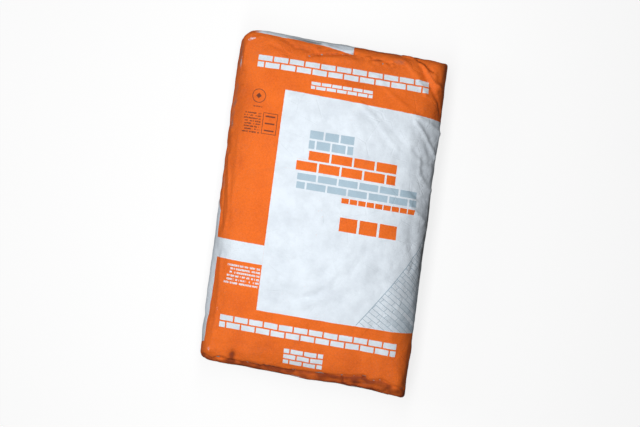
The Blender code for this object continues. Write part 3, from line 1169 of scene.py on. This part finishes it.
@dataclass
class PaperSack:
    """The printed paper sack: its smooth form, then the folds, dents and wear of handling."""

    lattice: PaperLattice
    finish: PrintedPaper
    cloth: PaperCloth = PaperCloth()
    ears: tuple[Ear, ...] = (
        Ear((0.207, 0.329, 0.055), (0.003, 0.005, 0.0), 0.030),
        Ear((0.205, -0.340, 0.055), (0.003, -0.006, 0.0), 0.030),
        Ear((-0.205, -0.320, 0.050), (-0.002, -0.002, 0.0), 0.025),
    )
    reliefs: tuple[Relief, ...] = (
        Crease(((-68, 304), (-56, 312), (-28, 316), (1, 324), (19, 330)), -3.4, 10, 2.0),
        Crease(((-130, 332), (-113, 325), (-98, 318)), -2.2, 7),
        Crease(((-144, 313), (-123, 304), (-108, 296)), -1.6, 8),
        Dent(-62, 318, 58, 10, -3.2, 8),
        Dent(-10, 306, 60, 10, 2.0, 6),
        Dent(30, 318, 40, 12, -2.2, -4),
        Crumple(-50, 320, 80, 16, 2.0, 6, size=20.0),
        Crumple(75, 318, 75, 13, 2.6, -8, size=17.0),
        Crease(((118, 346), (134, 342), (147, 332), (160, 322), (169, 312), (177, 301), (187, 289), (203, 281)),
               3.0, 9, 1.6),
        Crease(((143, 339), (159, 334), (166, 324), (179, 316)), -3.0, 7),
        Crease(((112, 331), (126, 318), (142, 303)), 1.4, 7),
        Crease(((70, 285), (89, 260), (132, 232)), 1.5, 8),
        Crease(((168, 268), (174, 262), (201, 250)), 1.4, 6),
        Crumple(176, 296, 40, 46, 2.8, 30, size=22.0),
        Crease(((150, 334), (168, 300), (196, 262), (216, 240)), -2.6, 9, 1.2),
        Crease(((120, 330), (150, 300), (170, 262)), 1.8, 8),
        Crease(((42, 220), (70, 200), (127, 143)), 1.4, 9),
        Crease(((62, 218), (100, 190), (140, 156)), -1.4, 9),
        Crease(((150, 216), (173, 210), (200, 202), (222, 194)), 3.0, 10, 1.0),
        Crease(((155, 202), (169, 190), (192, 168), (216, 144)), 3.2, 10, 1.6),
        Crease(((160, 150), (173, 138), (198, 132), (222, 128)), -2.6, 10),
        Crease(((174, 138), (179, 104), (200, 84), (222, 78)), 2.6, 11),
        Crease(((168, 66), (186, 56), (206, 60)), -2.4, 9),
        Crease(((166, 40), (187, 24), (207, 15)), 3.2, 9),
        Crumple(190, 120, 34, 120, 1.4, 0, size=30.0),
        Crumple(192, -60, 32, 110, 1.2, 0, size=34.0),
        Crumple(30, -120, 110, 80, 1.5, 0, size=46.0),
        Crumple(-10, 150, 120, 70, 1.2, 0, size=50.0),
        Crumple(266, 10, 32, 330, 2.0, 0, size=33.0),
        Crumple(-264, 10, 34, 330, 1.8, 0, size=31.0),
        Dent(268, 120, 22, 60, -2.4, 8),
        Dent(262, -150, 20, 70, -2.2, -6),
        Dent(-266, -40, 20, 60, -2.2, 6),
        Dent(-262, 190, 18, 50, -1.8, -8),
        Dent(188, 110, 18, 30, -3.0, 20),
        Dent(196, 170, 16, 20, -2.6, -20),
        Dent(180, -20, 20, 40, -2.6, 8),
        Dent(0, -166, 38, 9, -2.6, 26),
        Dent(2, -178, 46, 11, 1.8, 22),
        Dent(-30, -89, 30, 16, -2.2, 14),
        Dent(91, -63, 28, 16, -2.2, -10),
        Dent(40, -110, 50, 20, 1.9, 50),
        Dent(60, -160, 44, 14, -1.9, 40),
        Dent(-60, 60, 30, 60, -1.2, 0),
        Dent(100, 170, 60, 30, -1.4, -30),
        Dent(-60, -184, 30, 24, -1.5, 10),
        Dent(-73, 244, 22, 12, -1.8, 10),
        Crease(((-192, -120), (-187, -176), (-184, -250), (-187, -300)), 2.0, 8),
        Crease(((-186, 120), (-182, 50), (-184, -20)), 1.2, 7),
        Crease(((-208, 76), (-198, 26), (-190, -26), (-192, -70)), 2.4, 8, 0.8),
        Crease(((-216, 44), (-207, -8), (-204, -60)), -2.0, 7),
        Crease(((-176, 44), (-180, 4), (-177, -40)), 1.5, 7),
        Crease(((-197, 262), (-198, 298), (-188, 317), (-168, 327)), 2.0, 6),
        Crumple(-214, 120, 26, 150, 1.2, 0, size=26.0),
        Crease(((-226, -330), (-205, -329), (-196, -330), (-184, -337), (-168, -329)), -4.0, 9, 2.2),
        Dent(-190, -313, 13, 11, 3.4),
        Dent(-143, -317, 13, 17, -5.0, -6),
        Dent(-118, -306, 18, 14, 1.6),
        Crease(((-168, -330), (-150, -334), (-127, -333), (-110, -332), (-91, -336), (-66, -335), (-41, -335),
                (-21, -332), (5, -328), (35, -326)), -3.6, 9, 2.0),
        Crumple(-80, -334, 80, 9, 2.0, 0, size=15.0),
        Crease(((35, -326), (67, -323), (94, -320), (109, -314), (123, -312)), -3.0, 8, 1.4),
        Crease(((123, -312), (132, -319), (146, -315), (157, -310), (167, -313), (179, -318), (199, -321), (216, -322)),
               -3.2, 8, 1.8),
        Crumple(120, -334, 90, 12, 2.0, 0, size=18.0),
        Crease(((79, -322), (82, -346)), -2.6, 6),
        Crease(((-60, -345), (-10, -348), (61, -346), (161, -340)), 1.8, 7),
        Dent(-110, -350, 40, 10, -2.4),
        Dent(10, -356, 40, 12, 2.2),
        Dent(100, -354, 34, 10, -2.2),
    )
    # Painted shade, stored on the points: dark lines in creases and along the right and top outlines, a dent's dark
    # side, and the shaded band below the bottom fold.
    creases: tuple[Relief, ...] = (
        Shade(((-228, -322), (-205, -326), (-184, -334), (-168, -335), (-155, -330), (-127, -330), (-91, -333),
               (-66, -330), (-41, -331), (-21, -326), (5, -325), (35, -321), (67, -322), (94, -318), (109, -312),
               (123, -311), (132, -318), (146, -314), (157, -309), (167, -312), (179, -317), (199, -320),
               (216, -321)), 0.90, 9),
        Rub(-143, -322, 10, 20, 0.95, -6),
        Crease(((-68, 304), (-56, 312), (-28, 316), (1, 324), (19, 330)), 0.85, 5),
        Crease(((-130, 332), (-113, 325)), 0.8, 5),
        Crease(((-144, 313), (-123, 304)), 0.4, 6),
        Crease(((-104, 322), (-80, 322), (-50, 326)), 0.6, 12),
        Crease(((-96, 313), (-70, 316)), 0.55, 7),
        Crease(((22, 320), (48, 322), (70, 316)), 0.4, 14),
        Crease(((60, 320), (74, 322)), 0.5, 9),
        Crease(((103, 336), (112, 326), (122, 318)), 0.7, 8),
        Crease(((134, 345), (150, 333), (163, 323), (172, 312), (180, 301), (190, 289)), 0.75, 5),
        Crease(((146, 336), (160, 331), (167, 321), (180, 315)), 0.95, 5),
        Crease(((-205, -329), (-196, -330), (-184, -337), (-168, -329)), 0.9, 5),
        Crease(((-146, -306), (-145, -328)), 0.45, 17),
        Crease(((-127, -334), (-110, -333), (-91, -337), (-66, -336), (-41, -336), (-21, -333)), 1.0, 9),
        Crease(((-21, -333), (5, -330), (35, -328)), 0.5, 10),
        Crease(((35, -330), (67, -328), (94, -325), (109, -319), (123, -317)), 0.55, 9),
        Crease(((123, -316), (132, -323), (146, -319), (157, -314), (167, -317), (179, -322)), 0.7, 8),
        Crease(((79, -325), (83, -345)), 0.9, 4),
        Crease(((60, -345), (110, -346), (165, -340)), 0.5, 7),
        Crease(((219, 345), (223, 300), (225, 236)), 0.95, 12),
        Crease(((22, 346), (60, 345), (100, 347), (150, 347), (214, 345)), 0.90, 9),
        Crease(((219, -345), (223, -300), (225, -214)), 0.95, 12),
    )
    rubs: tuple[Rub, ...] = (
        Rub(-187, 313, 7, 3, 0.62, 50),
        Rub(-181, 319, 7, 3, 0.75, 22),
        Rub(-206, 276, 5, 30, 0.55, -8),
        Rub(-207, 255, 8, 60, 0.50, 0),
        Rub(-214, 140, 10, 80, 0.50, 0),
        Rub(-194, 24, 4, 16, 0.62, 8),
        Rub(-190, 316, 12, 3, 0.66, 46),
        Rub(-184, -215, 4, 60, 0.60, 0),
        Rub(-182, 50, 4, 50, 0.4, 0),
        Rub(-190, -313, 3, 9, 0.85),
        Rub(-14, -348, 40, 3, 0.95, 1),
        Rub(76, -315, 12, 4, 0.6, 3),
        Rub(163, -312, 6, 3, 0.8, -30),
        Rub(146, -340, 34, 3, 0.6, 3),
        Rub(30, 338, 12, 3, 0.7, 0),
        Rub(83, -336, 3, 9, 0.6),
        Rub(205, 290, 8, 30, 0.3),
    )
    # Real dust on the left and the top band, and painted shade in the same grey along the right side, the top rim, the
    # bottom fold and a dent at the bottom left.
    dust_and_shade_patches: tuple[Rub, ...] = (
        Rub(-212, 285, 14, 50, 0.75, 0),
        Rub(-216, 180, 15, 100, 0.62, 0),
        Rub(-216, 40, 13, 90, 0.50, 0),
        Rub(-232, -190, 10, 130, 0.55, 0),
        Rub(-80, 339, 90, 7, 1.0, 0),
        Rub(-145, -317, 12, 14, 0.35),
        Rub(-70, -333, 60, 5, 0.95, 0),
        Rub(140, -330, 60, 6, 0.5, 2),
        Rub(110, 324, 26, 12, 0.5, -10),
        Rub(62, 321, 16, 6, 0.5, 0),
        Rub(-40, 316, 60, 9, 0.35, 6),
        Rub(224, 0, 15, 200, 0.95, 0),
        Rub(212, -90, 14, 120, 0.30, 0),
        Rub(224, -290, 10, 60, 0.45, 0),
    )
    crumple: tuple[tuple[float, float], ...] = ((70.0, 1.1), (28.0, 0.7), (12.0, 0.25))
    puckers: tuple[tuple[float, float], ...] = ((64.0, 2.2), (33.0, 1.4), (17.0, 0.8))

    def build(self) -> bpy.types.Object:
        """Makes the piece."""
        sack = self.lattice.divided_cube("sack")
        mesh = sack.data
        cube = read_points(mesh)
        points = self.lattice.places(cube)
        rings = self.lattice.ring_places(cube, points)
        corners = np.zeros(len(mesh.loops), np.int32)
        mesh.loops.foreach_get("vertex_index", corners)
        corners = corners.reshape(-1, 4)
        self.store_sheet(mesh, self.lattice.flat_places(cube, rings, corners))
        self.store_ends(mesh, cube[corners].mean(axis=1))
        write_points(mesh, points)
        write_points(mesh, points + self.cloth.moves(sack, self.lattice.box_places(cube, rings)))
        finish_with(sack, "SUBSURF", levels=1, render_levels=1)
        self.handle(mesh)
        mesh.shade_smooth()
        mesh.materials.append(self.finish.build())
        return sack

    @staticmethod
    def store_sheet(mesh: bpy.types.Mesh, flat: Array) -> None:
        """Stores the flat paper's places as the piece's UV map."""
        for layer in list(mesh.uv_layers):
            mesh.uv_layers.remove(layer)
        layer = mesh.uv_layers.new(name="paper")
        layer.data.foreach_set("uv", flat.astype(np.float32).ravel())

    @staticmethod
    def store_ends(mesh: bpy.types.Mesh, centres: Array) -> None:
        """Marks the faces of the two block ends with their End value."""
        layer = mesh.attributes.new("block_end", "INT", "FACE")
        ends = np.where(np.abs(centres[:, 1]) > 0.999, np.sign(centres[:, 1]), 0)
        layer.data.foreach_set("value", ends.astype(np.int32))

    def flat_points(self, mesh: bpy.types.Mesh) -> Array:
        """The place on the flat paper of each point of the mesh, in millimetres."""
        corners = np.zeros(len(mesh.loops), np.int32)
        mesh.loops.foreach_get("vertex_index", corners)
        sheet = np.zeros(len(mesh.loops) * 2, np.float32)
        mesh.uv_layers["paper"].data.foreach_get("uv", sheet)
        flat = np.zeros((len(mesh.vertices), 2))
        flat[corners] = sheet.reshape(-1, 2) * 1000
        return flat

    def handle(self, mesh: bpy.types.Mesh) -> None:
        """Moves the points as handling does, and paints where the paper is rubbed, dusty or painted with shade."""
        flat = self.flat_points(mesh)
        points = read_points(mesh)
        for ear in self.ears:
            points = points + ear.moves(points)
        write_points(mesh, points)
        normals = read_normals(mesh)
        height = sum(relief.heights(flat) for relief in self.reliefs)
        for size, lift in self.crumple:
            height = height + lift * rough(points * 1000, size, size)
        for size, lift in self.puckers:
            height = height + lift * (np.abs(rough(points * 1000, size, size / 3)) - 0.2)
        points = points + normals * height[:, None] / 1000
        points[:, 2] = np.maximum(points[:, 2], 0)
        write_points(mesh, points)
        sides = ease((np.abs(flat[:, 0]) - 110) / 70) + ease((np.abs(flat[:, 1]) - 240) / 60)
        paint(mesh, "handled", np.clip(sides, 0.15, 1))
        grain = 0.75 + 0.5 * rough(points * 1000, 14.0, 5.0)
        # Paints the rubbed wear, the dust with its painted shade, and the painted shade of creases, outlines and folds.
        for name, patches in (("rubbed", self.rubs), ("dust_and_painted_shade", self.dust_and_shade_patches), ("painted_shade", self.creases)):
            paint(mesh, name, np.clip(sum(p.heights(flat) for p in patches) * grain, 0, 1))


@dataclass
class EndCover:
    """The sheet pasted over a block end, cut from the sack's own surface and raised off it."""

    sack: bpy.types.Object
    end: End
    finish: PlainPaper
    half_wide: float = 0.172
    margin: float = 0.011
    gap: float = 0.00035
    thickness: float = 0.0003
    block_width: float = 0.090

    def build(self, name: str, material: bpy.types.Material) -> bpy.types.Object:
        """Makes the piece.

        Args:
            name: the piece's name.
            material: the paper of both covers.

        Returns:
            The cover.
        """
        cover = duplicate_of(self.sack, name)
        self.keep_sheet(cover)
        bpy.ops.object.mode_set(mode="EDIT")
        bpy.ops.mesh.select_all(action="SELECT")
        bpy.ops.transform.shrink_fatten(value=self.gap + self.thickness)
        bpy.ops.object.mode_set(mode="OBJECT")
        finish_with(cover, "SOLIDIFY", thickness=self.thickness, offset=-1, use_even_offset=False)
        cover.data.materials.clear()
        cover.data.materials.append(material)
        return cover

    def keep_sheet(self, cover: bpy.types.Object) -> None:
        """Deletes all but the faces of this end that the cover lies on."""
        mesh = cover.data
        ends = np.zeros(len(mesh.polygons), np.int32)
        mesh.attributes["block_end"].data.foreach_get("value", ends)
        sheet = mesh.uv_layers["paper"].data
        rim = min(abs(sheet[loop].uv.y) for p in mesh.polygons if ends[p.index] == self.end.value for loop in p.loop_indices)
        bpy.ops.object.mode_set(mode="EDIT")
        bpy.ops.mesh.select_mode(type="FACE")
        bpy.ops.mesh.select_all(action="DESELECT")
        bpy.ops.object.mode_set(mode="OBJECT")
        for face in mesh.polygons:
            place = sum((sheet[loop].uv for loop in face.loop_indices), Vector((0, 0))) / len(face.loop_indices)
            depth = abs(place.y) - rim
            inside = self.margin < depth < self.block_width - self.margin and abs(place.x) < self.half_wide
            face.select = not (inside and ends[face.index] == self.end.value)
        bpy.ops.object.mode_set(mode="EDIT")
        bpy.ops.mesh.delete(type="FACE")
        bpy.ops.object.mode_set(mode="OBJECT")


@dataclass
class CementFill:
    """The cement inside: the sack's own form, less a gap."""

    sack: bpy.types.Object
    finish: CementPowder
    inset: float = 0.0016
    steps_back: int = 2

    def build(self) -> bpy.types.Object:
        """Makes the piece."""
        fill = duplicate_of(self.sack, "cement")
        bpy.ops.object.mode_set(mode="EDIT")
        bpy.ops.mesh.select_all(action="SELECT")
        bpy.ops.transform.shrink_fatten(value=-self.inset)
        bpy.ops.object.mode_set(mode="OBJECT")
        finish_with(fill, "DECIMATE", decimate_type="UNSUBDIV", iterations=self.steps_back)
        fill.data.shade_smooth()
        fill.data.materials.clear()
        fill.data.materials.append(self.finish.build())
        return fill


@dataclass
class ValveSleeve:
    """The flattened paper sleeve in the valve's corner, and the slit that it lies in."""

    finish: PlainPaper
    paper: float = 0.0003
    lean: float = math.radians(1.1)
    slit_depth: float = 0.030
    clearance: float = 0.0005
    pocket_clearance: float = 0.0016
    cut_outside: float = 0.020

    def corners(self) -> tuple[Vector, Vector]:
        """The lowest and highest corners of the sleeve before it leans."""
        low, high = (Vector(corner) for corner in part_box("valve_sleeve"))
        high.y -= (high.x - low.x) * math.tan(self.lean)
        return low, high

    def leaning_box(self, name: str, low: Vector, high: Vector) -> bpy.types.Object:
        """A box between two corners, turned in plan as the sleeve is."""
        bpy.ops.object.select_all(action="DESELECT")
        bpy.ops.mesh.primitive_cube_add(size=1, location=(low + high) / 2, scale=high - low)
        box = bpy.context.object
        box.name = box.data.name = name
        bpy.ops.object.transform_apply(location=True, rotation=True, scale=True)
        mouth = self.corners()[0]
        for vert in box.data.vertices:
            vert.co.y += (vert.co.x - mouth.x) * math.tan(self.lean)
        return box

    def cut_room(self, piece: bpy.types.Object, clearance: float, depth: float) -> None:
        """Cuts the sleeve's room out of a piece, open to the outside at the corner.

        Args:
            piece: the piece to cut.
            clearance: the gap that it leaves all round the sleeve.
            depth: how far it reaches in from the sleeve's mouth.
        """
        low, high = self.corners()
        high.x = low.x + depth
        low.x -= self.cut_outside
        spare = Vector((0, clearance, clearance))
        cutter = self.leaning_box("valve_room", low - spare, high + spare)
        finish_with(piece, "BOOLEAN", operation="DIFFERENCE", object=cutter)
        bpy.data.objects.remove(cutter)

    def build(self, sack: bpy.types.Object, cement: bpy.types.Object) -> bpy.types.Object:
        """Makes the sleeve, a thin tube with open ends, and the room for it.

        Args:
            sack: the paper sack, which gets a slit.
            cement: the cement, which gets a pocket.

        Returns:
            The sleeve.
        """
        low, high = self.corners()
        self.cut_room(sack, self.clearance, self.slit_depth)
        self.cut_room(cement, self.pocket_clearance, high.x - low.x + self.pocket_clearance)
        sleeve = self.leaning_box("valve_paper", low, high)
        bpy.ops.object.mode_set(mode="EDIT")
        bpy.ops.mesh.select_mode(type="FACE")
        bpy.ops.mesh.select_all(action="DESELECT")
        bpy.ops.object.mode_set(mode="OBJECT")
        for face in sleeve.data.polygons:
            face.select = abs(face.normal.x) > 0.9
        bpy.ops.object.mode_set(mode="EDIT")
        bpy.ops.mesh.delete(type="FACE")
        bpy.ops.object.mode_set(mode="OBJECT")
        finish_with(sleeve, "SOLIDIFY", thickness=self.paper, offset=-1, use_even_offset=True)
        sleeve.data.materials.append(self.finish.build())
        return sleeve


@dataclass(frozen=True)
class Softbox:
    """A flat studio light, with its long side along the sack."""

    name: str
    place: tuple[float, float, float]
    wide: float
    long: float
    watts: float
    colour: Colour = (1.0, 1.0, 1.0)

    def build(self, aim: Vector) -> bpy.types.Object:
        """Adds the light.

        Args:
            aim: the point that it faces.

        Returns:
            The light.
        """
        data = bpy.data.lights.new(self.name, "AREA")
        data.shape = "RECTANGLE"
        data.size, data.size_y = self.wide, self.long
        data.energy, data.color = self.watts, self.colour
        light = bpy.data.objects.new(self.name, data)
        bpy.context.scene.collection.objects.link(light)
        light.visible_camera = False
        back = (Vector(self.place) - Vector((aim.x, self.place[1], aim.z))).normalized()
        along = Vector((0, 1, 0))
        turned = Matrix((along.cross(back), along, back)).transposed()
        light.matrix_world = Matrix.Translation(self.place) @ turned.to_4x4()
        return light


@dataclass(frozen=True)
class Studio:
    """The pale floor, the soft lights and the dim surroundings."""

    floor_side: float = 12.0
    floor_colour: Colour = (0.18, 0.18, 0.18)
    floor_glow: float = 0.83
    surroundings: float = 0.13
    lights: tuple[Softbox, ...] = (
        Softbox("overhead_light", (-0.08, 0.05, 0.90), 0.22, 1.80, 8.6),
        Softbox("window_light", (-1.8, 0.1, 1.1), 0.6, 0.6, 9.0),
    )

    def build(self, aim: Vector) -> None:
        """Adds the floor, the lights and the world, and shows colours as they are."""
        bpy.ops.object.select_all(action="DESELECT")
        bpy.ops.mesh.primitive_plane_add(size=self.floor_side, location=(0, 0, -0.0002))
        floor = bpy.context.object
        floor.name = "floor"
        bpy.ops.object.transform_apply(location=True, rotation=True, scale=True)
        floor.data.materials.append(self.floor_finish())
        floor.visible_diffuse = floor.visible_glossy = False
        for light in self.lights:
            light.build(aim)
        scene = bpy.context.scene
        scene.world = bpy.data.worlds.new("soft_surroundings")
        scene.world.use_nodes = True
        background = scene.world.node_tree.nodes["Background"]
        background.inputs["Color"].default_value = (1, 1, 1, 1)
        background.inputs["Strength"].default_value = self.surroundings
        scene.view_settings.view_transform = "Standard"

    def floor_finish(self) -> bpy.types.Material:
        """Plain near-white paint with the faintest mottling."""
        graph = Graph("pale_floor")
        tone = graph.noise(graph.object_millimetres(), 3.0, 3.0).rise(0.2, 0.8) * 0.02 + 0.985
        shade = graph.mixed(tone, (0.0, 0.0, 0.0), self.floor_colour)
        graph.feed(graph.shader.inputs["Base Color"], shade)
        graph.shader.inputs["Roughness"].default_value = 0.9
        graph.shader.inputs["Emission Color"].default_value = (1, 1, 1, 1)
        graph.shader.inputs["Emission Strength"].default_value = self.floor_glow
        return graph.material


def report(piece: bpy.types.Object) -> None:
    """Logs a piece's size."""
    LOG.info("%s: %d faces", piece.name, len(piece.data.polygons))


def place_in_frame(piece: bpy.types.Object, node: str) -> None:
    """Lets a piece ride on the sack's one body, in place of a node of the frame."""
    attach(piece, "root")
    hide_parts(node)
    report(piece)


def main() -> None:
    """Builds the sack, what belongs to it, and the studio."""
    logging.basicConfig(level=logging.INFO, format="%(message)s")
    low, high = CAD_BOX
    middle = Vector((0, 0, (low[2] + high[2]) / 2))
    PhotoCamera().build(middle)
    Studio().build(middle)

    sack = PaperSack(PaperLattice(SackForm()), PrintedPaper()).build()
    place_in_frame(sack, "paper_sack")

    cover_paper = PlainPaper("bleached_cover_paper", (0.74, 0.77, 0.78))
    pasted = cover_paper.build()
    for end, name, node in (
        (End.VALVE, "valve_end_cover", "top_cover"),
        (End.BOTTOM, "bottom_end_cover", "bottom_cover"),
    ):
        place_in_frame(EndCover(sack, end, cover_paper).build(name, pasted), node)

    cement = CementFill(sack, CementPowder()).build()
    place_in_frame(cement, "cement_fill")
    kraft = PlainPaper("brown_kraft_paper", (0.43, 0.29, 0.17), dusty=0.15)
    place_in_frame(ValveSleeve(kraft).build(sack, cement), "valve_sleeve")


if __name__ == "__main__":
    main()
